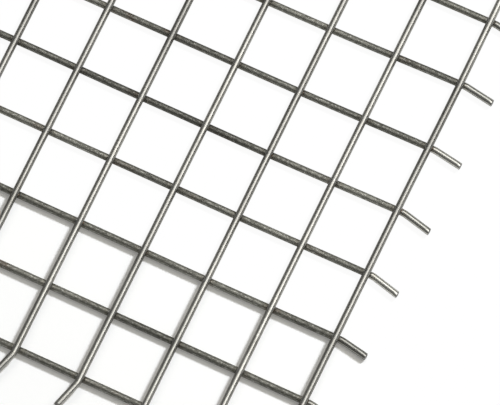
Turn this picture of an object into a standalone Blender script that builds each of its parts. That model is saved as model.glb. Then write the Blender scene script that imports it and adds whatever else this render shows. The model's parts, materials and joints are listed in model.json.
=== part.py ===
# Welded wire mesh panel: a flat sheet of round steel wires, welded where they cross.
# Metres, +Z up. X runs along the cross wires and Y along the line wires. The origin is at
# the middle of the sheet, on the plane that the undersides of the cross wires lie on.
import math

import bmesh
import bpy

# Driving dimensions
LINE_WIRES = 12  # along the length, the upper layer
CROSS_WIRES = 24  # across the width, the lower layer
LINE_PITCH = 0.050  # centre to centre of the line wires
CROSS_PITCH = 0.050  # centre to centre of the cross wires
LINE_DIAMETER = 0.005
CROSS_DIAMETER = 0.005
WELD_SINK = 0.0006  # how far a weld presses the line wire into the cross wire

# From the centre of an outermost wire to the sheared edge beyond it
RIGHT_END = 0.025
LEFT_END = 0.025
FRONT_END = 0.025
BACK_END = 0.025

# The shear pushed the free ends on two edges sideways, in the plane of the sheet and
# clockwise as seen from above. The angles, in degrees, repeat along each edge.
RIGHT_BENDS = (11.0, 10.0, 10.0, 13.5, 13.0, 9.0, 9.0)
FRONT_BENDS = (16.0, 17.5, 16.0, 17.0, 18.5)
BEND_RADIUS = 0.014  # of the wire's centreline
BEND_STRETCHES = 3  # straight stretches in a bend

WIRE_SIDES = 8
CUT_MARGIN = 0.005  # how far the wires reach past the shear, and the shear past the wires
MERGE_DISTANCE = 0.000001  # between a tube's end and its cap

# Where the layers lie
SHEET_WIDTH = LEFT_END + (LINE_WIRES - 1) * LINE_PITCH + RIGHT_END
SHEET_LENGTH = FRONT_END + (CROSS_WIRES - 1) * CROSS_PITCH + BACK_END
LAST_LINE_X = SHEET_WIDTH / 2 - RIGHT_END
FIRST_CROSS_Y = FRONT_END - SHEET_LENGTH / 2
CROSS_Z = CROSS_DIAMETER / 2
LINE_Z = CROSS_DIAMETER - WELD_SINK + LINE_DIAMETER / 2
SHEET_HEIGHT = CROSS_DIAMETER - WELD_SINK + LINE_DIAMETER

STEEL_COLOUR = (0.29, 0.285, 0.265, 1.0)
STEEL_ROUGHNESS = 0.38
STEEL_METALLIC = 0.9
SHARP_ANGLE = 50.0


def clear_scene():
    for obj in list(bpy.data.objects):
        bpy.data.objects.remove(obj, do_unlink=True)


def collection(name):
    made = bpy.data.collections.new(name)
    bpy.context.scene.collection.children.link(made)
    return made


def steel():
    material = bpy.data.materials.new("drawn_steel")
    material.use_nodes = True
    shader = material.node_tree.nodes["Principled BSDF"]
    shader.inputs["Base Color"].default_value = STEEL_COLOUR
    shader.inputs["Roughness"].default_value = STEEL_ROUGHNESS
    shader.inputs["Metallic"].default_value = STEEL_METALLIC
    return material


def free_end(start, length, bend):
    """Places along and beside a wire past its last weld: an arc from where it comes clear of
    the wire that it crosses, then straight on, past the shear by the margin."""
    places = []
    for stretch in range(BEND_STRETCHES + 1):
        turned = bend * stretch / BEND_STRETCHES
        places.append((start + BEND_RADIUS * math.sin(turned), BEND_RADIUS * (1 - math.cos(turned))))
    along, beside = places[-1]
    ahead = length + CUT_MARGIN - along
    places.append((along + ahead, beside + ahead * math.tan(bend)))
    return places


def line_wire(number):
    """Centreline of a line wire, counted from the right, from the back to its front end."""
    x = LAST_LINE_X - number * LINE_PITCH
    bend = math.radians(FRONT_BENDS[number % len(FRONT_BENDS)])
    end = free_end(CROSS_DIAMETER / 2, FRONT_END, bend)
    return [(x, SHEET_LENGTH / 2 + CUT_MARGIN, LINE_Z)] + [
        (x - beside, FIRST_CROSS_Y - along, LINE_Z) for along, beside in end
    ]


def cross_wire(number):
    """Centreline of a cross wire, counted from the front, from the left to its right end."""
    y = FIRST_CROSS_Y + number * CROSS_PITCH
    bend = math.radians(RIGHT_BENDS[number % len(RIGHT_BENDS)])
    end = free_end(LINE_DIAMETER / 2, RIGHT_END, bend)
    return [(-SHEET_WIDTH / 2 - CUT_MARGIN, y, CROSS_Z)] + [
        (LAST_LINE_X + along, y - beside, CROSS_Z) for along, beside in end
    ]


def wire_curve(name, centrelines, diameter):
    """A tube along each centreline. Its flats are a diameter apart, and one faces down."""
    curve = bpy.data.curves.new(name, "CURVE")
    curve.dimensions = "3D"
    curve.bevel_depth = diameter / 2 / math.cos(math.pi / WIRE_SIDES)
    curve.bevel_resolution = WIRE_SIDES // 2 - 2
    curve.use_fill_caps = True
    for centreline in centrelines:
        spline = curve.splines.new("POLY")
        spline.points.add(len(centreline) - 1)
        for point, place in zip(spline.points, centreline):
            point.co = (*place, 1.0)
            point.tilt = math.pi / WIRE_SIDES
    obj = bpy.data.objects.new(name, curve)
    bpy.context.scene.collection.objects.link(obj)
    return obj


def as_closed_mesh(curve_object, home):
    """The tubes as a mesh, with their caps welded on, in place of the curve object."""
    bpy.context.view_layer.update()
    evaluated = curve_object.evaluated_get(bpy.context.evaluated_depsgraph_get())
    mesh = bpy.data.meshes.new_from_object(evaluated)
    welded = bmesh.new()
    welded.from_mesh(mesh)
    bmesh.ops.remove_doubles(welded, verts=welded.verts, dist=MERGE_DISTANCE)
    bmesh.ops.recalc_face_normals(welded, faces=welded.faces)
    welded.to_mesh(mesh)
    welded.free()
    name = curve_object.name
    place = curve_object.matrix_world.copy()
    bpy.data.objects.remove(curve_object, do_unlink=True)
    obj = bpy.data.objects.new(name, mesh)
    obj.matrix_world = place
    home.objects.link(obj)
    return obj


def wire_layer(name, centrelines, diameter, home):
    return as_closed_mesh(wire_curve(name, centrelines, diameter), home)


def shear(home):
    """The block of space that the sheared sheet fills."""
    bpy.ops.mesh.primitive_cube_add(size=1, location=(0, 0, SHEET_HEIGHT / 2))
    block = bpy.context.active_object
    block.name = "shear"
    block.scale = (SHEET_WIDTH, SHEET_LENGTH, SHEET_HEIGHT + 2 * CUT_MARGIN)
    for linked in list(block.users_collection):
        linked.objects.unlink(block)
    home.objects.link(block)
    return block


def boolean(obj, name, operation, other):
    modifier = obj.modifiers.new(name, "BOOLEAN")
    modifier.operation = operation
    modifier.solver = "EXACT"
    modifier.object = other


def hide_cutter(obj):
    obj.hide_render = True
    obj.display_type = "WIRE"


def build():
    clear_scene()
    parts = collection("welded_wire_mesh_panel")
    cutters = collection("cutters")
    panel = wire_layer("mesh_panel", [cross_wire(i) for i in range(CROSS_WIRES)], CROSS_DIAMETER, parts)
    upper = wire_layer("line_wires", [line_wire(i) for i in range(LINE_WIRES)], LINE_DIAMETER, cutters)
    block = shear(cutters)
    for layer in (panel, upper):
        layer.data.materials.append(steel())
        layer.data.shade_smooth()
        layer.data.set_sharp_from_angle(angle=math.radians(SHARP_ANGLE))
    boolean(panel, "welds", "UNION", upper)
    boolean(panel, "sheared edges", "INTERSECT", block)
    hide_cutter(upper)
    hide_cutter(block)


build()
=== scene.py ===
import json
import math
import random

import bmesh
import bpy
from mathutils import Matrix, Vector

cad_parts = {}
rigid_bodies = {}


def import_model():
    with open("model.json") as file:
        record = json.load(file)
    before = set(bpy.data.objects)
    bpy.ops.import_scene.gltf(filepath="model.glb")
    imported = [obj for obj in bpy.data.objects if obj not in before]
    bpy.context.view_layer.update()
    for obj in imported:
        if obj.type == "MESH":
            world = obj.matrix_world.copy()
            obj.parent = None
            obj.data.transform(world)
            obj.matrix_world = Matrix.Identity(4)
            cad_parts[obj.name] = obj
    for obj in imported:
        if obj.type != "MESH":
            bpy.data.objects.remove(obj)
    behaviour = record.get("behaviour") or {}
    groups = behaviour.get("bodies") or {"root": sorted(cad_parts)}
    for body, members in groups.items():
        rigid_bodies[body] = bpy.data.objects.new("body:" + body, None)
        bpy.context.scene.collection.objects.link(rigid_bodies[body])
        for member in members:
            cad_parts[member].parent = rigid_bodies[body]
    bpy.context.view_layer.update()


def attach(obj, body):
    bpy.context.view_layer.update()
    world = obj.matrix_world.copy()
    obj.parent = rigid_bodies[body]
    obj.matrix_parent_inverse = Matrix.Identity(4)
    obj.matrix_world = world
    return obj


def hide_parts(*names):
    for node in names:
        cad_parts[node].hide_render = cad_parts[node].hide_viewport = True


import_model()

chance = random.Random(7)
print("frame loaded")

# The sheet lies flat: cross wires below, along X, and line wires above, along Y. All in metres.
sheet = {
    "lineWires": 12,
    "crossWires": 24,
    "pitch": 0.050,
    "lineX": 0.275,       # the line wire at the right edge; the others follow to the left
    "crossY": -0.575,     # the cross wire at the front edge; the others follow to the back
    "lineZ": 0.0069,
    "crossZ": 0.0025,
    "left": -0.300,
    "right": 0.300,
    "front": -0.600,
    "back": 0.600,
    "wireRadius": 0.0025,
}

shot = {
    "target": (0.17798, -0.41296, 0.005),
    "distance": 4.0,
    "azimuth": 47.34,
    "elevation": 73.81,
    "roll": -22.19,
    "lens": 412.94,
    "clipEnd": 100.0,
}


def fromAngles(azimuth, elevation):
    a, e = math.radians(azimuth), math.radians(elevation)
    return Vector((math.sin(a) * math.cos(e), -math.cos(a) * math.cos(e), math.sin(e)))


def makeCamera():
    back = fromAngles(shot["azimuth"], shot["elevation"])
    bpy.ops.object.camera_add(location=Vector(shot["target"]) + back * shot["distance"])
    camera = bpy.context.object
    camera.name = "photoCamera"
    camera.rotation_mode = "QUATERNION"
    roll = Matrix.Rotation(math.radians(shot["roll"]), 3, "Z")
    camera.rotation_quaternion = ((-back).to_track_quat("-Z", "Y").to_matrix() @ roll).to_quaternion()
    camera.data.lens = shot["lens"]
    camera.data.clip_end = shot["clipEnd"]
    bpy.context.scene.camera = camera


makeCamera()
print("camera placed")


# Small helpers for the nodes

def newNode(tree, kind, place, **settings):
    node = tree.nodes.new(kind)
    node.location = place
    for key, value in settings.items():
        setattr(node, key, value)
    return node


def feed(tree, node, **sources):
    # a socket takes a link from another node's output, or a plain value
    for key, source in sources.items():
        socket = node.inputs[int(key[1:])] if key[1:].isdigit() else node.inputs[key.replace("_", " ")]
        if isinstance(source, bpy.types.NodeSocket):
            tree.links.new(source, socket)
        else:
            socket.default_value = source
    return node


def maths(tree, place, operation, first, second=0.0, third=0.0):
    node = newNode(tree, "ShaderNodeMath", place, operation=operation)
    return feed(tree, node, s0=first, s1=second, s2=third).outputs[0]


def ramped(tree, place, value, low, high):
    # from 0 at low to 1 at high, whichever of the two is larger
    node = newNode(tree, "ShaderNodeMapRange", place, interpolation_type="SMOOTHSTEP")
    return feed(tree, node, Value=value, From_Min=low, From_Max=high).outputs[0]


def grain(tree, place, vector, setting):
    # noise; its scale counts the features in a metre along X, Y and Z, so it can be drawn out along a wire
    stretched = newNode(tree, "ShaderNodeVectorMath", (place[0] - 200, place[1]), operation="MULTIPLY")
    feed(tree, stretched, s0=vector, s1=setting["scale"])
    node = newNode(tree, "ShaderNodeTexNoise", place)
    feed(tree, node, Vector=stretched.outputs[0], Scale=1.0, Detail=setting["detail"],
         Roughness=setting["roughness"])
    return node.outputs["Fac"]


def scaled(tree, place, vector, factor):
    node = newNode(tree, "ShaderNodeVectorMath", place, operation="SCALE")
    return feed(tree, node, s0=vector, Scale=factor).outputs[0]


def mixed(tree, place, factor, first, second, blend="MIX"):
    node = newNode(tree, "ShaderNodeMix", place, data_type="RGBA", blend_type=blend)
    return feed(tree, node, s0=factor, s6=first, s7=second).outputs[2]


def covered(tree, place, mask, share, below, above, blend="MIX"):
    # the colour above covers the one below where the mask is, and there by the share
    factor = maths(tree, (place[0] - 150, place[1] - 200), "MULTIPLY", mask, share)
    return mixed(tree, place, factor, below, above, blend)


def blended(tree, place, factor, first, second):
    # two plain values: the first where the factor is 0, the second where it is 1
    node = newNode(tree, "ShaderNodeMix", place)
    return feed(tree, node, s0=factor, s2=first, s3=second).outputs[0]


def addBump(tree, shader, height, strength, depth):
    bump = newNode(tree, "ShaderNodeBump", (650, -350))
    feed(tree, bump, Strength=strength, Distance=depth, Height=height)
    tree.links.new(bump.outputs[0], shader.inputs["Normal"])


def newGroup(name, inputs, outputs):
    group = bpy.data.node_groups.new(name, "ShaderNodeTree")
    for label, kind, value in inputs:
        socket = group.interface.new_socket(name=label, in_out="INPUT", socket_type=kind)
        if value is not None:
            socket.default_value = value
    for label, kind in outputs:
        group.interface.new_socket(name=label, in_out="OUTPUT", socket_type=kind)
    return group, newNode(group, "NodeGroupInput", (-900, 0)), newNode(group, "NodeGroupOutput", (900, 0))


def placeGroup(tree, group, place, **sources):
    node = newNode(tree, "ShaderNodeGroup", place)
    node.node_tree = group
    return feed(tree, node, **sources)


# Fine marks that the drawing die leaves along a wire, and slow changes in how bright it is
dieMarks = {
    "fine": {"scale": (22.0, 1500.0, 1500.0), "detail": 3.0, "roughness": 0.6, "share": 0.3},
    "hair": {"scale": (12.0, 4800.0, 4800.0), "detail": 2.0, "roughness": 0.6, "share": 0.4},
    "broad": {"scale": (9.0, 420.0, 420.0), "detail": 2.0, "roughness": 0.5, "share": 0.3},
    "slow": {"scale": (28.0, 90.0, 90.0), "detail": 3.0, "roughness": 0.6, "share": 0.5},
    "strength": 4.0,      # of the marks in the shade, at a contrast of 1
}


def makeDrawingMarks():
    group, given, made = newGroup(
        "drawingMarks",
        [("Place", "NodeSocketVector", None), ("Contrast", "NodeSocketFloat", 0.3)],
        [("Shade", "NodeSocketFloat"), ("Height", "NodeSocketFloat")],
    )
    place = given.outputs["Place"]
    height = 0.0
    for row, kind in enumerate(("fine", "hair", "broad")):
        marks = grain(group, (-450, 450 - 250 * row), place, dieMarks[kind])
        share = dieMarks[kind]["share"]
        height = maths(group, (-250 + 100 * row, 300), "MULTIPLY_ADD", marks, share, height)
    slow = grain(group, (-450, -300), place, dieMarks["slow"])
    slowShare = dieMarks["slow"]["share"]
    marked = maths(group, (50, 150), "MULTIPLY", height, 1 - slowShare)
    shade = maths(group, (200, 0), "MULTIPLY_ADD", slow, slowShare, marked)
    centred = maths(group, (350, 0), "SUBTRACT", shade, 0.5)
    weighed = maths(group, (500, 0), "MULTIPLY", centred, given.outputs["Contrast"])
    shown = maths(group, (650, 0), "MULTIPLY_ADD", weighed, dieMarks["strength"], 1.0)
    group.links.new(shown, made.inputs["Shade"])
    group.links.new(height, made.inputs["Height"])
    return group


# Slow changes in brightness from one stretch of a wire to the next, and between wires
driftGrain = {"scale": (7.0, 40.0, 40.0), "detail": 2.0, "roughness": 0.5}


def makeDrift():
    group, given, made = newGroup(
        "wireDrift",
        [("Place", "NodeSocketVector", None), ("Contrast", "NodeSocketFloat", 1.0)],
        [("Shade", "NodeSocketFloat")],
    )
    slow = grain(group, (-300, 0), given.outputs["Place"], driftGrain)
    centred = maths(group, (0, 0), "SUBTRACT", slow, 0.5)
    shade = maths(group, (300, 0), "MULTIPLY_ADD", centred, given.outputs["Contrast"], 1.0)
    group.links.new(shade, made.inputs["Shade"])
    return group


# Patches, flecks and stains in the scale; each shows between two levels of its grain
millScale = {
    "patch": {"scale": (190.0, 480.0, 480.0), "detail": 4.0, "roughness": 0.62, "shows": (0.40, 0.62)},
    "fleck": {"scale": (520.0, 1300.0, 1300.0), "detail": 2.0, "roughness": 0.55, "shows": (0.52, 0.68)},
    "stain": {"scale": (26.0, 70.0, 70.0), "detail": 3.0, "roughness": 0.6, "shows": (0.55, 0.72)},
    "fleckHeight": 0.4,   # beside a patch
}


def makeScale():
    group, given, made = newGroup(
        "wireScale",
        [("Place", "NodeSocketVector", None), ("Size", "NodeSocketFloat", 1.0)],
        [("Patch", "NodeSocketFloat"), ("Fleck", "NodeSocketFloat"), ("Stain", "NodeSocketFloat"),
         ("Height", "NodeSocketFloat")],
    )
    place = scaled(group, (-750, 0), given.outputs["Place"], given.outputs["Size"])
    grains = {}
    for row, kind in enumerate(("patch", "fleck", "stain")):
        grains[kind] = grain(group, (-400, 300 - 250 * row), place, millScale[kind])
        mask = ramped(group, (-100, 300 - 250 * row), grains[kind], *millScale[kind]["shows"])
        group.links.new(mask, made.inputs[kind.capitalize()])
    height = maths(group, (100, 150), "MULTIPLY_ADD", grains["fleck"], millScale["fleckHeight"],
                   grains["patch"])
    group.links.new(height, made.inputs["Height"])
    return group


# The heat round a weld: blue at the weld, brown further out and straw at the edge of its reach
weldGlow = {
    "cloud": {"scale": (260.0, 260.0, 260.0), "detail": 3.0, "roughness": 0.6},
    "ragged": 0.006,      # metres by which the cloud shifts the heat's edge
    "full": 0.25,         # share of the reach within which the heat is full
    "blueEnd": 0.30,
    "brownPlace": 0.55,
    "blue": (0.42, 0.44, 0.50, 1.0),
    "brown": (0.64, 0.52, 0.39, 1.0),
    "straw": (0.96, 0.90, 0.78, 1.0),
}


def makeWeldHeat():
    group, given, made = newGroup(
        "weldHeat",
        [("Place", "NodeSocketVector", None), ("Reach", "NodeSocketFloat", 0.008)],
        [("Heat", "NodeSocketFloat"), ("Tint", "NodeSocketColor")],
    )
    parts = newNode(group, "ShaderNodeSeparateXYZ", (-850, 100))
    group.links.new(given.outputs["Place"], parts.inputs[0])
    away = []
    for axis, start in enumerate((sheet["lineX"], sheet["crossY"])):
        fromFirst = maths(group, (-650, 200 - 200 * axis), "SUBTRACT", parts.outputs[axis], start)
        away.append(maths(group, (-450, 200 - 200 * axis), "PINGPONG", fromFirst, sheet["pitch"] / 2))
    squareY = maths(group, (-250, 0), "MULTIPLY", away[1], away[1])
    squares = maths(group, (-100, 100), "MULTIPLY_ADD", away[0], away[0], squareY)
    distance = maths(group, (0, 100), "SQRT", squares)
    cloud = grain(group, (-350, -250), given.outputs["Place"], weldGlow["cloud"])
    centred = maths(group, (0, -200), "SUBTRACT", cloud, 0.5)
    ragged = maths(group, (150, 0), "MULTIPLY_ADD", centred, weldGlow["ragged"], distance)
    near = maths(group, (300, 0), "DIVIDE", ragged, given.outputs["Reach"])
    group.links.new(ramped(group, (500, 100), near, 1.0, weldGlow["full"]), made.inputs["Heat"])
    tint = newNode(group, "ShaderNodeValToRGB", (500, -150))
    stops = tint.color_ramp.elements
    stops[0].position, stops[0].color = weldGlow["blueEnd"], weldGlow["blue"]
    stops[1].position, stops[1].color = 1.0, weldGlow["straw"]
    stops.new(weldGlow["brownPlace"]).color = weldGlow["brown"]
    group.links.new(near, tint.inputs[0])
    group.links.new(tint.outputs[0], made.inputs["Tint"])
    return group


drawingMarks = makeDrawingMarks()
wireDrift = makeDrift()
wireScale = makeScale()
weldHeat = makeWeldHeat()


def startMaterial(name):
    material = bpy.data.materials.new(name)
    material.use_nodes = True
    tree = material.node_tree
    shader = tree.nodes["Principled BSDF"]
    shader.location = (900, 0)
    return material, tree, shader


def setShader(shader, values):
    for key, value in values.items():
        shader.inputs[key].default_value = value


def wirePlaces(tree):
    # a point's place on its wire as that was drawn, straight along X, and its place in the sheet
    drawn = newNode(tree, "ShaderNodeAttribute", (-1100, 100), attribute_name="wirePlace")
    lying = newNode(tree, "ShaderNodeTexCoord", (-1100, -300))
    return drawn.outputs["Vector"], lying.outputs["Object"]


# The upper wires: bright drawn steel
brightSteel = {
    "colour": (0.350, 0.345, 0.320, 1.0),
    "marks": 0.15,        # contrast of the die marks
    "drift": 1.6,
    "heat": 0.12,
    "heatReach": 0.0075,
    "grime": 0.30,
    "grimeSize": 0.8,
    "grimeColour": (0.12, 0.11, 0.09, 1.0),
    "roughness": 0.39,
    "roughnessSpread": 0.16,
    "relief": 0.25,
    "reliefDepth": 0.00003,
    "shader": {"Metallic": 1.0, "Specular Tint": (0.24, 0.235, 0.22, 1.0)},   # dull towards its outline
}


def makeBrightSteel():
    material, tree, shader = startMaterial("brightDrawnSteel")
    setShader(shader, brightSteel["shader"])
    place, where = wirePlaces(tree)
    marks = placeGroup(tree, drawingMarks, (-600, 150), Place=place, Contrast=brightSteel["marks"])
    heat = placeGroup(tree, weldHeat, (-600, -300), Place=where, Reach=brightSteel["heatReach"])
    grime = placeGroup(tree, wireScale, (-600, -80), Place=place, Size=brightSteel["grimeSize"])
    drift = placeGroup(tree, wireDrift, (-600, 350), Place=place, Contrast=brightSteel["drift"])
    shade = maths(tree, (-450, 250), "MULTIPLY", marks.outputs["Shade"], drift.outputs["Shade"])
    shaded = scaled(tree, (-300, 200), brightSteel["colour"][:3], shade)
    heated = covered(tree, (0, 100), heat.outputs["Heat"], brightSteel["heat"],
                     shaded, heat.outputs["Tint"], "MULTIPLY")
    dirty = covered(tree, (250, 100), grime.outputs["Stain"], brightSteel["grime"],
                    heated, brightSteel["grimeColour"])
    tree.links.new(dirty, shader.inputs["Base Color"])
    spread = brightSteel["roughnessSpread"]
    rough = maths(tree, (300, -100), "MULTIPLY_ADD", marks.outputs["Height"], spread,
                  brightSteel["roughness"] - spread / 2)
    tree.links.new(rough, shader.inputs["Roughness"])
    addBump(tree, shader, marks.outputs["Height"], brightSteel["relief"], brightSteel["reliefDepth"])
    return material


# The lower wires: darker, with mottled scale, and past the last weld as smooth and bright as the upper
# ones, a brightness that partly paints the highlight the bent free ends catch
scaledSteel = {
    "colour": (0.265, 0.263, 0.231, 1.0),
    "patch": 0.75,
    "patchColour": (0.155, 0.154, 0.133, 1.0),
    "stain": 0.7,
    "stainColour": (0.150, 0.105, 0.080, 1.0),
    "fleck": 0.75,
    "fleckColour": (0.46, 0.455, 0.42, 1.0),
    "marks": 0.25,
    "drift": 2.0,
    "heat": 0.35,
    "heatReach": 0.0085,
    "roughness": 0.52,
    "patchRoughness": 0.10,
    "fleckRoughness": -0.12,
    # the free ends' colour: a smoother, brighter finish that partly paints their highlight
    "tipFinishAndHighlightColour": (0.478, 0.474, 0.436, 1.0),
    "tipRoughness": 0.30,
    "tipSpread": 0.14,    # of its roughness
    "tipStart": 0.2756,   # from the middle of the line wires
    "tipEnd": 0.2776,
    "relief": 0.5,
    "reliefDepth": 0.00022,
    "tipRelief": 0.08,    # beside the rest of the wire
    "shader": {"Metallic": 1.0, "Specular Tint": (0.03, 0.03, 0.03, 1.0)},
}


def makeScaledSteel():
    material, tree, shader = startMaterial("scaledDrawnSteel")
    setShader(shader, scaledSteel["shader"])
    place, where = wirePlaces(tree)
    marks = placeGroup(tree, drawingMarks, (-800, 250), Place=place, Contrast=scaledSteel["marks"])
    scale = placeGroup(tree, wireScale, (-800, 0), Place=place, Size=1.0)
    heat = placeGroup(tree, weldHeat, (-800, -300), Place=where, Reach=scaledSteel["heatReach"])
    drift = placeGroup(tree, wireDrift, (-100, 350), Place=place, Contrast=scaledSteel["drift"])
    patched = covered(tree, (-500, 100), scale.outputs["Patch"], scaledSteel["patch"],
                      scaledSteel["colour"], scaledSteel["patchColour"])
    stained = covered(tree, (-300, 100), scale.outputs["Stain"], scaledSteel["stain"],
                      patched, scaledSteel["stainColour"])
    flecked = covered(tree, (-100, 100), scale.outputs["Fleck"], scaledSteel["fleck"],
                      stained, scaledSteel["fleckColour"])
    drifted = scaled(tree, (50, 250), flecked, drift.outputs["Shade"])

    # the free ends: a smoother finish whose brighter colour partly paints their highlight, each end with a
    # painted highlight strength of its own
    parts = newNode(tree, "ShaderNodeSeparateXYZ", (-900, -550))
    tree.links.new(where, parts.inputs[0])
    middle = sheet["lineX"] - (sheet["lineWires"] - 1) * sheet["pitch"] / 2
    fromMiddle = maths(tree, (-700, -550), "SUBTRACT", parts.outputs[0], middle)
    outward = maths(tree, (-550, -550), "ABSOLUTE", fromMiddle)
    tip = ramped(tree, (-350, -550), outward, scaledSteel["tipStart"], scaledSteel["tipEnd"])
    tipHighlightShade = newNode(tree, "ShaderNodeAttribute", (-700, 500), attribute_name="tipHighlightShade").outputs["Fac"]
    shade = maths(tree, (-500, 450), "MULTIPLY", marks.outputs["Shade"], tipHighlightShade)
    tipFinishAndHighlight = scaled(tree, (-300, 350), scaledSteel["tipFinishAndHighlightColour"][:3], shade)
    tipped = mixed(tree, (150, 150), tip, drifted, tipFinishAndHighlight)
    heated = covered(tree, (350, 100), heat.outputs["Heat"], scaledSteel["heat"],
                     tipped, heat.outputs["Tint"], "MULTIPLY")
    tree.links.new(heated, shader.inputs["Base Color"])

    rough = maths(tree, (0, -350), "MULTIPLY_ADD", scale.outputs["Patch"], scaledSteel["patchRoughness"],
                  scaledSteel["roughness"])
    rough = maths(tree, (200, -350), "MULTIPLY_ADD", scale.outputs["Fleck"], scaledSteel["fleckRoughness"],
                  rough)
    spread = scaledSteel["tipSpread"]
    tipRough = maths(tree, (200, -500), "MULTIPLY_ADD", marks.outputs["Height"], spread,
                     scaledSteel["tipRoughness"] - spread / 2)
    tree.links.new(blended(tree, (450, -350), tip, rough, tipRough), shader.inputs["Roughness"])
    tipRelief = maths(tree, (200, -700), "MULTIPLY", marks.outputs["Height"], scaledSteel["tipRelief"])
    relief = blended(tree, (450, -600), tip, scale.outputs["Height"], tipRelief)
    addBump(tree, shader, relief, scaledSteel["relief"], scaledSteel["reliefDepth"])
    return material


# The cut faces at the sheared ends: dull and torn, their darker colour partly a painted shade
cutSteel = {
    # darker than bare steel: torn steel, and partly painted shade
    "colour": (0.235, 0.228, 0.210, 1.0),
    "darkColour": (0.095, 0.092, 0.084, 1.0),
    "tear": {"scale": (2600.0, 2600.0, 500.0), "detail": 3.0, "roughness": 0.6, "shows": (0.35, 0.70)},
    "roughness": 0.32,    # and up to the spread more, with the tear
    "roughnessSpread": 0.25,
    "relief": 0.5,
    "reliefDepth": 0.00012,
    "shader": {"Metallic": 1.0},
}


def makeCutSteel():
    material, tree, shader = startMaterial("shearedSteel")
    setShader(shader, cutSteel["shader"])
    where = newNode(tree, "ShaderNodeTexCoord", (-900, 0)).outputs["Object"]
    torn = grain(tree, (-500, 100), where, cutSteel["tear"])
    bare = ramped(tree, (-350, 0), torn, *cutSteel["tear"]["shows"])
    colour = mixed(tree, (-200, 100), bare, cutSteel["darkColour"], cutSteel["colour"])
    tree.links.new(colour, shader.inputs["Base Color"])
    rough = maths(tree, (0, -100), "MULTIPLY_ADD", torn, cutSteel["roughnessSpread"], cutSteel["roughness"])
    tree.links.new(rough, shader.inputs["Roughness"])
    addBump(tree, shader, torn, cutSteel["relief"], cutSteel["reliefDepth"])
    return material


# The squeezed metal round a weld: dark, with heat colours
weldSteel = {
    "colour": (0.085, 0.078, 0.064, 1.0),
    "hotColour": (0.125, 0.088, 0.062, 1.0),
    "hot": {"scale": (34.0, 34.0, 34.0), "detail": 1.0, "roughness": 0.5, "shows": (0.48, 0.66)},
    "fleck": 0.6,
    "fleckColour": (0.30, 0.28, 0.25, 1.0),
    "scaleSize": 1.6,
    "roughness": 0.38,
    "patchRoughness": 0.2,
    "relief": 0.6,
    "reliefDepth": 0.0003,
    "shader": {"Metallic": 1.0},
}


def makeWeldSteel():
    material, tree, shader = startMaterial("weldedSteel")
    setShader(shader, weldSteel["shader"])
    where = newNode(tree, "ShaderNodeTexCoord", (-900, 0)).outputs["Object"]
    scale = placeGroup(tree, wireScale, (-600, 0), Place=where, Size=weldSteel["scaleSize"])
    slow = grain(tree, (-600, -300), where, weldSteel["hot"])
    hot = ramped(tree, (-400, -300), slow, *weldSteel["hot"]["shows"])
    colour = mixed(tree, (-200, 100), hot, weldSteel["colour"], weldSteel["hotColour"])
    flecked = covered(tree, (100, 100), scale.outputs["Fleck"], weldSteel["fleck"],
                      colour, weldSteel["fleckColour"])
    tree.links.new(flecked, shader.inputs["Base Color"])
    rough = maths(tree, (200, -150), "MULTIPLY_ADD", scale.outputs["Patch"], weldSteel["patchRoughness"],
                  weldSteel["roughness"])
    tree.links.new(rough, shader.inputs["Roughness"])
    addBump(tree, shader, scale.outputs["Height"], weldSteel["relief"], weldSteel["reliefDepth"])
    return material


brightDrawnSteel = makeBrightSteel()
scaledDrawnSteel = makeScaledSteel()
shearedSteel = makeCutSteel()
weldedSteel = makeWeldSteel()
print("materials made")


# Small helpers for modelling

smoothAngle = math.radians(38)   # edges with less of a turn are shaded smooth


def deselect():
    if bpy.context.object and bpy.context.object.mode != "OBJECT":
        bpy.ops.object.mode_set(mode="OBJECT")
    bpy.ops.object.select_all(action="DESELECT")


def pickOnly(obj):
    deselect()
    obj.select_set(True)
    bpy.context.view_layer.objects.active = obj


def editOnly(obj):
    pickOnly(obj)
    bpy.ops.object.mode_set(mode="EDIT")
    bpy.ops.mesh.select_mode(type="VERT")
    bpy.ops.mesh.select_all(action="DESELECT")


def pickPoints(obj, test):
    bpy.ops.mesh.select_mode(type="VERT")
    bpy.ops.mesh.select_all(action="DESELECT")
    edit = bmesh.from_edit_mesh(obj.data)
    for point in edit.verts:
        point.select_set(test(point.co))
    edit.select_flush(True)
    bmesh.update_edit_mesh(obj.data)


def pickFaces(obj, test):
    bpy.ops.mesh.select_mode(type="FACE")
    bpy.ops.mesh.select_all(action="DESELECT")
    edit = bmesh.from_edit_mesh(obj.data)
    for face in edit.faces:
        face.select_set(test(face))
    bmesh.update_edit_mesh(obj.data)


def pickEdges(obj, test):
    bpy.ops.mesh.select_mode(type="EDGE")
    bpy.ops.mesh.select_all(action="DESELECT")
    edit = bmesh.from_edit_mesh(obj.data)
    for edge in edit.edges:
        edge.select_set(test(edge))
    bmesh.update_edit_mesh(obj.data)


def pickDrawn(obj, low, high):
    # every point that was drawn between the two places along the wire, wherever it has moved since
    bpy.ops.mesh.select_all(action="DESELECT")
    edit = bmesh.from_edit_mesh(obj.data)
    drawn = edit.verts.layers.float_vector["wirePlace"]
    for point in edit.verts:
        point.select_set(low < point[drawn].x < high)
    edit.select_flush(True)
    bmesh.update_edit_mesh(obj.data)


def ownCopy(obj, name):
    copied = obj.copy()
    copied.data = obj.data.copy()
    copied.name = name
    bpy.context.scene.collection.objects.link(copied)
    return copied


def putInPlace(obj, turn, place):
    # turned and moved, and then applied, so that the object itself sits at the origin
    pickOnly(obj)
    obj.rotation_euler = (0, 0, turn)
    obj.location = place
    bpy.ops.object.transform_apply(location=True, rotation=True, scale=True)


def finishPiece(obj):
    pickOnly(obj)
    bpy.ops.object.shade_smooth_by_angle(angle=smoothAngle)
    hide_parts("mesh_panel")
    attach(obj, "root")
    deselect()


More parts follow.
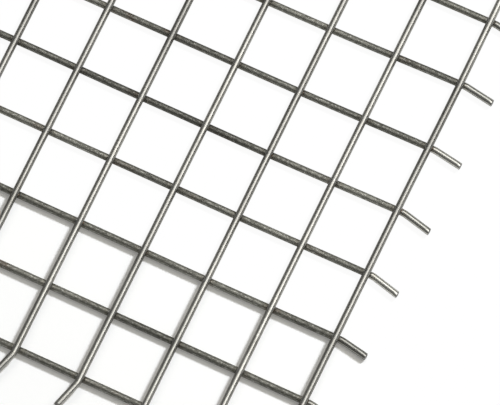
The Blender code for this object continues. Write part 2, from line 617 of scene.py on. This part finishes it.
# A wire is drawn straight along X, from before its far end at 0 to past its near end. Its near end is bent,
# it is given a slight wander, both ends are cut and their cut faces dressed, and the whole is put in place.
wire = {
    "sides": 24,
    "ringGap": 0.025,
    "endRings": 3,        # between the bend and the near end
    "pastShear": 0.004,
    "bendRadius": 0.014,
    "bendAngle": 14.0,    # the typical bend, which the bend's rings are spaced for
    "bendSteps": 4,
    "slack": 0.0001,      # when a ring is picked by its place
    "strayRings": 4,      # rings from one sideways nudge to the next
    "chanceStray": 0.00035,
    "chanceTrim": 0.4,    # in mm
    "patternStep": (2.3, 0.31),   # from one wire to the next, along and across
}

# A wire's map, through which its finish is baked
wireMap = {
    "rings": 4,           # in a row
    "fill": 0.92,         # of a row's height
    "cutAcross": {1: 0.5, -1: 2.5},   # places of the near and the far cut in the last row, in rows
    "cutDown": 0.8,
}

# A wire's sheared ends
shear = {
    "squareShare": 0.35,  # of the bend, by which the cut is squarer to the wire than to the sheet
    "lean": 1.0,          # degrees by which a cut face looks up
    "leanHeight": -0.6,   # where the lean leaves the cut in place, in radii from the wire's middle
    "reach": 0.006,       # in which points are looked up for the wire's middle
    "pressed": 0.0014,    # length of the end that the blade presses down before it cuts
    "pressDepth": 0.05,   # of the wire's height, at the cut
    "rim": 0.00014,       # rounding of the cut edge
    "rimSteps": 2,
    "rimProfile": 0.6,
    "fracture": 0.00055,  # width of the smooth ring round the torn middle of a cut
    "tearDepth": 0.00016,
    "tearBack": 0.5,      # share of that depth by which the middle comes back out
    "coreArea": 4e-6,     # a cut's flat face has more, and its rounded rim less
    "rimFacing": 0.45,    # how straight a face looks along the wire: the rim, the whole cut, its flat face
    "cutFacing": 0.9,
    "flatFacing": 0.99,
}


def modelWire(name, length, lastWeld):
    # the free end starts at the crossed wire's flank, half its diameter past the last weld
    bpy.ops.mesh.primitive_circle_add(vertices=wire["sides"], radius=sheet["wireRadius"], fill_type="NGON",
                                      location=(-wire["pastShear"], 0, 0), rotation=(0, math.pi / 2, 0))
    obj = bpy.context.object
    obj.name = name
    bpy.ops.object.transform_apply(location=True, rotation=True, scale=True)
    bendStart = lastWeld + sheet["wireRadius"]
    step = wire["bendRadius"] * math.radians(wire["bendAngle"]) / wire["bendSteps"]
    rest = length + wire["pastShear"] - bendStart - step * wire["bendSteps"]
    editOnly(obj)
    bpy.ops.mesh.select_all(action="SELECT")
    for stretch in (wire["pastShear"], bendStart, *[step] * wire["bendSteps"], rest):
        bpy.ops.mesh.extrude_region_move(TRANSFORM_OT_translate={"value": (stretch, 0, 0)})
    pickEdges(obj, lambda edge: edge.calc_length() > bendStart / 2)
    bpy.ops.mesh.subdivide(number_cuts=round(bendStart / wire["ringGap"]) - 1)
    pickEdges(obj, lambda edge: edge.calc_length() > rest / 2
              and edge.verts[0].co.x + edge.verts[1].co.x > 2 * bendStart)
    bpy.ops.mesh.subdivide(number_cuts=wire["endRings"])
    bpy.ops.mesh.select_all(action="SELECT")
    bpy.ops.mesh.normals_make_consistent(inside=False)
    deselect()
    wirePlace = obj.data.attributes.new("wirePlace", "FLOAT_VECTOR", "POINT")
    for point, kept in zip(obj.data.vertices, wirePlace.data):
        kept.vector = point.co
    return obj, bendStart, step


def layOutRows(obj, bendStart):
    # a hundred millimetres of the wire make a row of the map, and its cut faces go into a last row
    rowLength = bendStart / round(bendStart / wire["ringGap"]) * wireMap["rings"]
    rows = math.ceil(bendStart / rowLength)
    cell = 1 / (rows + 1)
    bakeMap = obj.data.uv_layers.new(name="OFBake")
    for face in obj.data.polygons:
        row = min(int(face.center.x / rowLength), rows - 1)
        faceAround = math.atan2(face.center.z, face.center.y) / math.tau
        for corner in face.loop_indices:
            at = obj.data.vertices[obj.data.loops[corner].vertex_index].co
            around = math.atan2(at.z, at.y) / math.tau
            around += round(faceAround - around)   # on its face's side of the seam
            up = (row + 0.5 + around * wireMap["fill"]) * cell
            bakeMap.data[corner].uv = (at.x / rowLength - row, up)
    return cell


def layOutCut(obj, at, normal, across, cell):
    # the picked cut face lies in the map's last row as it is seen from straight in front
    edit = bmesh.from_edit_mesh(obj.data)
    bakeMap = edit.loops.layers.uv["OFBake"]
    sideways, upwards = (direction * wireMap["fill"] / (2 * sheet["wireRadius"])
                         for direction in (normal.cross((0, 0, 1)), Vector((0, 0, 1))))
    for corner in (corner for face in edit.faces if face.select for corner in face.loops):
        away = corner.vert.co - at
        corner[bakeMap].uv = (cell * (across + away.dot(sideways)),
                              1 - cell * (wireMap["cutDown"] - away.dot(upwards)))
    bmesh.update_edit_mesh(obj.data)


def bendEnd(obj, bendStart, step, angle):
    # clockwise as seen from above, a share of the angle at each ring
    editOnly(obj)
    at, turned = Vector((bendStart, 0, 0)), 0.0
    share = math.radians(angle) / (wire["bendSteps"] + 1)
    for ring in range(wire["bendSteps"] + 1):
        pickDrawn(obj, bendStart + step * ring - wire["slack"], math.inf)
        bpy.ops.transform.rotate(value=share, orient_axis="Z", orient_type="GLOBAL", center_override=at)
        turned += share
        at = at + Vector((math.cos(turned), -math.sin(turned), 0)) * step
    deselect()


def facing(normal, least):
    return lambda face: face.normal.dot(normal) > least


def shearEnd(obj, cutX, outward, turn, cell):
    # everything past the shear is cut off; the cut leans back a little at the top
    editOnly(obj)
    lean = math.radians(shear["lean"])
    normal = Vector((outward * math.cos(lean), 0, math.sin(lean)))
    normal.rotate(Matrix.Rotation(turn, 3, "Z"))
    near = [point.co.y for point in obj.data.vertices if abs(point.co.x - cutX) < shear["reach"]]
    at = Vector((cutX, sum(near) / len(near), shear["leanHeight"] * sheet["wireRadius"]))
    bpy.ops.mesh.select_all(action="SELECT")
    bpy.ops.mesh.bisect(plane_co=at - normal * shear["pressed"], plane_no=normal)
    bpy.ops.mesh.select_all(action="SELECT")
    bpy.ops.mesh.bisect(plane_co=at, plane_no=normal, use_fill=True, clear_outer=True)
    pickPoints(obj, lambda place: (place - at).dot(normal) > -shear["pressed"] / 2)
    bpy.ops.transform.resize(value=(1, 1, 1 - shear["pressDepth"]),
                             center_override=(0, 0, -sheet["wireRadius"]))
    pickFaces(obj, facing(normal, shear["cutFacing"]))
    bpy.ops.mesh.region_to_loop()
    bpy.ops.mesh.bevel(offset=shear["rim"], segments=shear["rimSteps"], profile=shear["rimProfile"])
    flat = facing(normal, shear["flatFacing"])
    pickFaces(obj, lambda face: flat(face) and face.calc_area() > shear["coreArea"])
    bpy.ops.mesh.inset(thickness=shear["fracture"])
    bpy.ops.transform.translate(value=-normal * shear["tearDepth"])
    bpy.ops.mesh.inset(thickness=shear["fracture"])
    bpy.ops.transform.translate(value=normal * shear["tearDepth"] * shear["tearBack"])
    pickFaces(obj, facing(normal, shear["rimFacing"]))
    obj.active_material_index = 1
    bpy.ops.object.material_slot_assign()
    layOutCut(obj, at, normal, wireMap["cutAcross"][outward], cell)
    deselect()


def straysOf(seen, number, bendStart):
    # in metres, one for each nudge from the free end back
    knots = round(bendStart / wire["ringGap"]) // wire["strayRings"] + 1
    values = [chance.uniform(-1, 1) * wire["chanceStray"] for _ in range(knots)]
    for place, value in enumerate(seen.get(number, ())):
        values[place] = value / 1000
    return values


def strayGap(bendStart):
    return bendStart / round(bendStart / wire["ringGap"]) * wire["strayRings"]


def strayAt(values, bendStart, along):
    # a nudge falls off smoothly to nothing at the next one
    place, share = divmod(max(bendStart - along, 0.0) / strayGap(bendStart), 1)
    place, share = int(place), share * share * (3 - 2 * share)
    following = values[place + 1] if place + 1 < len(values) else 0.0
    return values[place] * (1 - share) + following * share


def nudgeWire(obj, bendStart, values):
    editOnly(obj)
    gap = strayGap(bendStart)
    for place, value in enumerate(values):
        at = bendStart - place * gap
        pickDrawn(obj, at - wire["slack"], math.inf if place == 0 else at + wire["slack"])
        bpy.ops.transform.translate(value=(0, value, 0), use_proportional_edit=True,
                                    proportional_edit_falloff="SMOOTH", proportional_size=gap)
    deselect()


def numberPlaces(obj, number):
    # so that no two wires carry the same marks
    along, across = (number * step for step in wire["patternStep"])
    for kept in obj.data.attributes["wirePlace"].data:
        kept.vector = (kept.vector[0] + along, kept.vector[1] + across, kept.vector[2])


def makeWires(kind):
    master, bendStart, step = modelWire(kind["name"] + "Master", kind["length"], kind["lastWeld"])
    master.data.materials.append(kind["material"])
    master.data.materials.append(shearedSteel)
    cell = layOutRows(master, bendStart)
    made = []
    for number in range(kind["count"]):
        obj = ownCopy(master, f"{kind['name']}_{number + 1:02d}")
        angle = kind["bends"][number % len(kind["bends"])]
        strays = straysOf(kind["strays"], number + 1, bendStart)
        bendEnd(obj, bendStart, step, angle)
        nudgeWire(obj, bendStart, strays)
        numberPlaces(obj, number + kind["firstPattern"])
        trim = kind["trims"].get(number + 1, chance.uniform(-1, 1) * wire["chanceTrim"]) / 1000
        shearEnd(obj, kind["length"] + trim, 1, -math.radians(angle) * shear["squareShare"], cell)
        shearEnd(obj, 0.0, -1, 0.0, cell)
        place = [start + number * gap for start, gap in zip(kind["farEnd"], kind["next"])]
        putInPlace(obj, kind["turn"], place)
        finishPiece(obj)
        made.append(lambda along, strays=strays: strayAt(strays, bendStart, along))
    bpy.data.objects.remove(master)
    return made


# Bends are in degrees and repeat along their edge. Strays are how far the wires in the photo lie from the
# true grid, in mm towards +X or +Y, at the free end and 100, 200 and 300 mm back. Trims are how far their
# free ends reach past the sheet's edge, in mm. The other wires' strays and trims are by chance.
lineWires = {
    "name": "line_wire",
    "count": sheet["lineWires"],
    "length": sheet["back"] - sheet["front"],
    "lastWeld": sheet["back"] - sheet["crossY"],
    "material": brightDrawnSteel,
    "bends": (16.0, 17.5, 16.0, 17.0, 18.5),
    "strays": {
        1: (-0.3, -0.3, -0.4, 0.4),
        2: (-0.1, -0.1, -0.1, 0.1),
        3: (0.2, 0.3, 0.0, 0.0),
        4: (0.5, 0.6, 0.4, 0.2),
        5: (0.1, 0.3, 0.0, -0.2),
        6: (-0.4, -0.5, -0.4, -0.4),
    },
    "trims": {},
    "firstPattern": 0,
    "turn": -math.pi / 2,
    "farEnd": (sheet["lineX"], sheet["back"], sheet["lineZ"]),
    "next": (-sheet["pitch"], 0.0, 0.0),
}

crossWires = {
    "name": "cross_wire",
    "count": sheet["crossWires"],
    "length": sheet["right"] - sheet["left"],
    "lastWeld": sheet["lineX"] - sheet["left"],
    "material": scaledDrawnSteel,
    "bends": (11.0, 10.0, 10.0, 13.5, 13.0, 9.0, 9.0),
    "strays": {
        1: (0.2, 0.2, 0.3, 0.2),
        2: (0.3, 0.5, 0.6, 0.6),
        3: (0.0, -0.3, 0.2, 0.6),
        4: (0.2, -0.1, 0.4, 0.8),
        5: (0.0, -0.7, -0.2, 0.6),
        6: (-0.1, -0.8, -0.5, -0.3),
        7: (0.5, -0.7, -0.5, -0.2),
    },
    "trims": {3: -0.7, 4: 0.0, 5: 0.8, 6: 0.4, 7: 1.1},
    # the free ends' shades paint how strongly each end shows its highlight
    "tipHighlightShades": {3: 0.69, 4: 1.27, 5: 1.07, 6: 1.20, 7: 0.89},   # how bright a free end is beside the mean
    "tipHighlightRange": (0.75, 1.2),   # of the others
    "firstPattern": 40,
    "turn": 0.0,
    "farEnd": (sheet["left"], sheet["crossY"], sheet["crossZ"]),
    "next": (0.0, sheet["pitch"], 0.0),
}


# each cross wire's free end gets its painted highlight strength, listed or by chance
def paintTipHighlights(kind):
    for number in range(1, kind["count"] + 1):
        shade = kind["tipHighlightShades"].get(number, chance.uniform(*kind["tipHighlightRange"]))
        mesh = bpy.data.objects[f"{kind['name']}_{number:02d}"].data
        for kept in mesh.attributes.new("tipHighlightShade", "FLOAT", "POINT").data:
            kept.value = shade


lineStray = makeWires(lineWires)
print("line wires drawn:", len(lineStray))

crossStray = makeWires(crossWires)
paintTipHighlights(crossWires)
print("cross wires drawn:", len(crossStray))


# Metal squeezed out round each weld: a low collar in the corners between the two wires
weld = {
    "height": 0.00475,
    "halfSizes": (0.0029, 0.0027, 0.00085),
    "around": 12,
    "rings": 6,
    "rough": 0.10,        # how far its points move, in its half sizes
    "roughEven": 0.3,     # how alike those moves are
    "roughOutward": 0.7,  # and how far they follow the surface's normal
    "flank": 0.0015,      # from the collar's middle
    "raised": 0.00022,
    "lowered": 0.00032,
    "variants": 4,
    "turn": 0.25,         # radians, either way
    "stretches": ((0.86, 1.08), (0.86, 1.10), (0.85, 1.15)),   # of its size, along X, Y and Z
    "offCentre": 0.0003,
}


def modelCollar(seed):
    bpy.ops.mesh.primitive_uv_sphere_add(segments=weld["around"], ring_count=weld["rings"], radius=1,
                                         location=(0, 0, 0))
    obj = bpy.context.object
    obj.name = f"collar{seed}"
    editOnly(obj)
    bpy.ops.mesh.select_all(action="SELECT")
    bpy.ops.transform.vertex_random(offset=weld["rough"], uniform=weld["roughEven"],
                                    normal=weld["roughOutward"], seed=seed)
    bpy.ops.transform.resize(value=weld["halfSizes"], center_override=(0, 0, 0))
    # pulled up along the line wire's flanks and down along the cross wire's
    pickPoints(obj, lambda at: abs(at.x) > weld["flank"])
    bpy.ops.transform.translate(value=(0, 0, weld["raised"]))
    pickPoints(obj, lambda at: abs(at.y) > weld["flank"])
    bpy.ops.transform.translate(value=(0, 0, -weld["lowered"]))
    deselect()
    obj.data.materials.append(weldedSteel)
    return obj


def makeWelds():
    masters = [modelCollar(seed) for seed in range(1, weld["variants"] + 1)]
    collars = []
    for row in range(sheet["crossWires"]):
        for column in range(sheet["lineWires"]):
            collar = ownCopy(chance.choice(masters), "collar")
            turn = chance.choice((0, math.pi)) + chance.uniform(-weld["turn"], weld["turn"])
            collar.rotation_euler.z = turn
            collar.scale = [chance.uniform(*limits) for limits in weld["stretches"]]
            x = sheet["lineX"] - column * sheet["pitch"]
            y = sheet["crossY"] + row * sheet["pitch"]
            asideX, asideY = (chance.uniform(-weld["offCentre"], weld["offCentre"]) for _ in range(2))
            collar.location = (
                x + lineStray[column](sheet["back"] - y) + asideX,
                y + crossStray[row](x - sheet["left"]) + asideY,
                weld["height"],
            )
            collars.append(collar)
    deselect()
    for collar in collars:
        collar.select_set(True)
    bpy.context.view_layer.objects.active = collars[0]
    bpy.ops.object.join()
    welds = bpy.context.object
    welds.name = "weld_collars"
    bpy.ops.object.transform_apply(location=True, rotation=True, scale=True)
    for master in masters:
        bpy.data.objects.remove(master)
    finishPiece(welds)


makeWelds()
print("weld collars made")


# The floor, the lamps and the world
floor = {
    "size": 60.0,
    "colour": (1.0, 0.972, 0.885, 1.0),
    "plainWhite": 0.94,   # share of plain white where it is seen directly, which fades the shadows
    "frontWhite": 0.16,   # the same under the sheet's front rows
    "frontEdge": -0.477,  # where those end, just in front of the third cross wire
    "frontFade": 0.008,   # from that edge to the plain white behind it
    "outerFade": 0.040,   # from the sheet's own edges to the plain white round it
    "shineWhite": 0.20,   # share of plain white in a reflection
}


def makeFloor():
    bpy.ops.mesh.primitive_plane_add(size=floor["size"], location=(0, 0, 0))
    obj = bpy.context.object
    obj.name = "floor"
    material, tree, shader = startMaterial("paleFloor")
    setShader(shader, {"Base Color": floor["colour"], "Roughness": 1.0, "Specular IOR Level": 0.0})

    # 1 under the sheet's front rows and 0 elsewhere
    parts = newNode(tree, "ShaderNodeSeparateXYZ", (-600, 500))
    tree.links.new(newNode(tree, "ShaderNodeTexCoord", (-800, 500)).outputs["Object"], parts.inputs[0])
    x, y = parts.outputs[0], parts.outputs[1]
    aside = maths(tree, (-400, 300), "ABSOLUTE", x)
    front = ramped(tree, (-200, 700), y, floor["frontEdge"] + floor["frontFade"], floor["frontEdge"])
    inside = ramped(tree, (-200, 500), aside, sheet["right"] + floor["outerFade"], sheet["right"])
    behind = ramped(tree, (-200, 300), y, sheet["front"] - floor["outerFade"], sheet["front"])
    shown = maths(tree, (100, 500), "MULTIPLY", maths(tree, (0, 500), "MULTIPLY", front, inside), behind)

    path = newNode(tree, "ShaderNodeLightPath", (300, 300))
    white = maths(tree, (300, 500), "MULTIPLY_ADD", shown, floor["frontWhite"] - floor["plainWhite"],
                  floor["plainWhite"])
    seen = maths(tree, (700, 350), "MULTIPLY", path.outputs["Is Camera Ray"], white)
    shine = maths(tree, (500, 200), "MAXIMUM", path.outputs["Is Glossy Ray"],
                  path.outputs["Is Transmission Ray"])
    share = maths(tree, (900, 300), "MULTIPLY_ADD", shine, floor["shineWhite"], seen)
    glow = newNode(tree, "ShaderNodeEmission", (900, -500))
    both = newNode(tree, "ShaderNodeMixShader", (1200, 0))
    feed(tree, both, s0=share, s1=shader.outputs[0], s2=glow.outputs[0])
    tree.links.new(both.outputs[0], tree.nodes["Material Output"].inputs["Surface"])
    obj.data.materials.append(material)


# level is the share of white that a lamp gives a level face, lean is how far it stands from straight
# overhead towards +X and +Y in degrees, and spread is the angle that it fills each way. The key makes
# the shadows and isn't seen in the steel, and the overhead one is seen in the steel only.
lamps = {
    "overhead": {"lean": (21, 13), "spread": (48, 34), "level": 0.48, "colour": (1.0, 0.992, 0.975),
                 "inSteel": True, "onFloor": False},
    "side": {"lean": (33, 12), "spread": (22, 24), "level": 0.09, "colour": (1.0, 0.992, 0.975),
             "inSteel": True, "onFloor": True},
    "rear": {"lean": (-14, 37), "spread": (26, 36), "level": 0.14, "colour": (1.0, 0.992, 0.975),
             "inSteel": True, "onFloor": True},
    "key": {"lean": (26, 44), "spread": (7, 7), "level": 0.71, "colour": (0.935, 0.985, 1.12),
            "inSteel": False, "onFloor": True},
}
lampDistance = 6.0
worldLevel = 0.17


def makeLamp(name, setting):
    leanX, leanY = (math.tan(math.radians(angle)) for angle in setting["lean"])
    direction = Vector((leanX, leanY, 1.0)).normalized()
    bpy.ops.object.light_add(type="AREA", location=Vector(shot["target"]) + direction * lampDistance)
    lamp = bpy.context.object
    lamp.name = name
    across = Vector((1, 0, 0)).cross(direction).cross(direction).normalized() * -1   # its width, along X
    axes = Matrix((across, direction.cross(across), direction)).transposed()
    lamp.rotation_mode = "QUATERNION"
    lamp.rotation_quaternion = axes.to_quaternion()
    width, depth = (2 * lampDistance * math.tan(math.radians(angle / 2)) for angle in setting["spread"])
    lamp.data.shape = "RECTANGLE"
    lamp.data.size, lamp.data.size_y = width, depth
    lamp.data.color = setting["colour"]
    # at a level of 1, a lamp alone shows a level white face as white
    lamp.data.energy = setting["level"] * math.pi ** 2 * lampDistance ** 2 / direction.z
    lamp.visible_glossy = setting["inSteel"]
    lamp.visible_diffuse = setting["onFloor"]


def makeWorld():
    world = bpy.data.worlds.new("studio")
    world.use_nodes = True
    background = world.node_tree.nodes["Background"]
    background.inputs["Color"].default_value = (1.0, 1.0, 1.0, 1.0)
    background.inputs["Strength"].default_value = worldLevel
    bpy.context.scene.world = world


makeFloor()
for lampName, lampSetting in lamps.items():
    makeLamp(lampName, lampSetting)
makeWorld()
bpy.context.scene.view_settings.view_transform = "Standard"
print("floor, lamps and world made")
